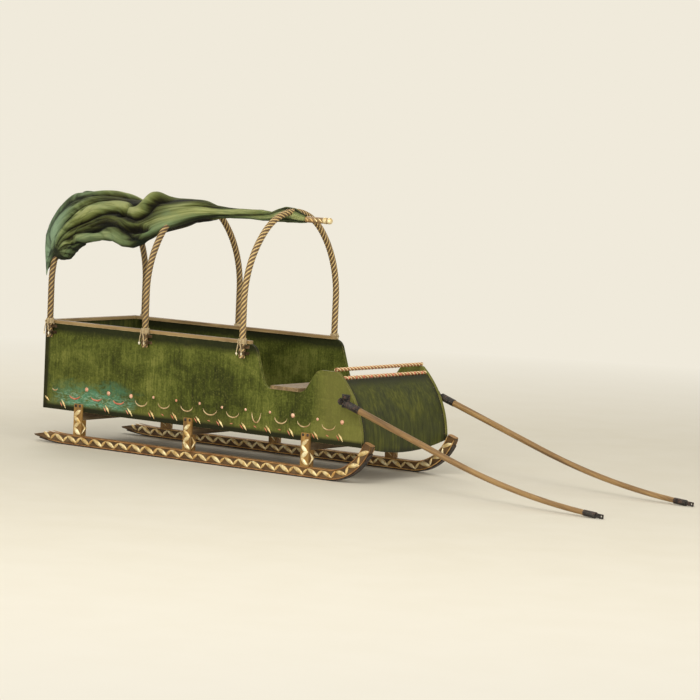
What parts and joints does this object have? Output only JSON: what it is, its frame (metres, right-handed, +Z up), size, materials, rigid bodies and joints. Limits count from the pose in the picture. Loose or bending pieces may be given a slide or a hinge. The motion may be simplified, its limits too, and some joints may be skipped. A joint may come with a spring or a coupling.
{
  "type": "horse drawn sleigh",
  "caption": "Country sleigh on two long runners: deep green body with a rounded front, bowed roof frame with a bundled canvas, driver's bench and a pair of hinged shafts.",
  "frame": {"origin": "on the ground under the middle of the sleigh's overall length, shafts lowered", "axes": "+X forward along the direction of travel, +Y to the left, +Z up"},
  "size_m": [6.0374, 1.372, 2.2192],
  "materials": {
    "green_paint": "worn olive green paint on boards, streaked and mottled",
    "dark_green_paint": "dark green paint, worn at the edges",
    "pale_wood": "bare tan wood, rubbed smooth",
    "grey_wood": "rough sawn wood, weathered",
    "pole_wood": "peeled ash pole, handled smooth",
    "carved_wood": "dark brown wood with gilded rope carving",
    "bound_wood": "bent brown pole, spirally bound",
    "gilt_wood": "gilded wood, worn",
    "iron": "black wrought iron with rust in the corners",
    "canvas": "grey green canvas, creased",
    "rope": "twisted cord, tan and brown",
    "gold_paint": "raised gold painted ornament",
    "coral_paint": "raised coral painted beads"
  },
  "bodies": {
    "root": {"bow_front": "bound_wood", "bow_middle": "bound_wood", "bow_rear": "bound_wood", "bow_staples_left": "iron", "bow_staples_right": "iron", "bunk_front": "grey_wood", "bunk_middle": "grey_wood", "bunk_rear": "grey_wood", "corner_posts": "dark_green_paint", "dash_rails": "gilt_wood", "floor_boards": "grey_wood", "front_board": "dark_green_paint", "gunwale_left": "pale_wood", "gunwale_right": "pale_wood", "hitch_plate_left": "iron", "hitch_plate_right": "iron", "knee_front_left": "carved_wood", "knee_front_right": "carved_wood", "knee_middle_left": "carved_wood", "knee_middle_right": "carved_wood", "knee_rear_left": "carved_wood", "knee_rear_right": "carved_wood", "rear_board": "dark_green_paint", "rear_rail": "pale_wood", "ridge_pole": "pole_wood", "runner_left": "carved_wood", "runner_right": "carved_wood", "runner_shoe_left": "iron", "runner_shoe_right": "iron", "seat_board": "grey_wood", "side_left": "green_paint", "side_right": "green_paint", "sill_left": "grey_wood", "sill_right": "grey_wood", "tilt_cover": "canvas"},
    "shaft_left": {"shaft_left": "pole_wood", "shaft_iron_left": "iron", "shaft_tip_left": "iron"},
    "shaft_right": {"shaft_right": "pole_wood", "shaft_iron_right": "iron", "shaft_tip_right": "iron"}
  },
  "joints": [
    {"name": "shaft_left_hinge", "type": "hinge", "parent": "root", "child": "shaft_left", "pos_m": [0.4213, 0.65, 0.67], "axis": [0, -1, 0], "range_deg": [0, 90]},
    {"name": "shaft_right_hinge", "type": "hinge", "parent": "root", "child": "shaft_right", "pos_m": [0.4213, -0.65, 0.67], "axis": [0, -1, 0], "range_deg": [0, 90]}
  ]
}
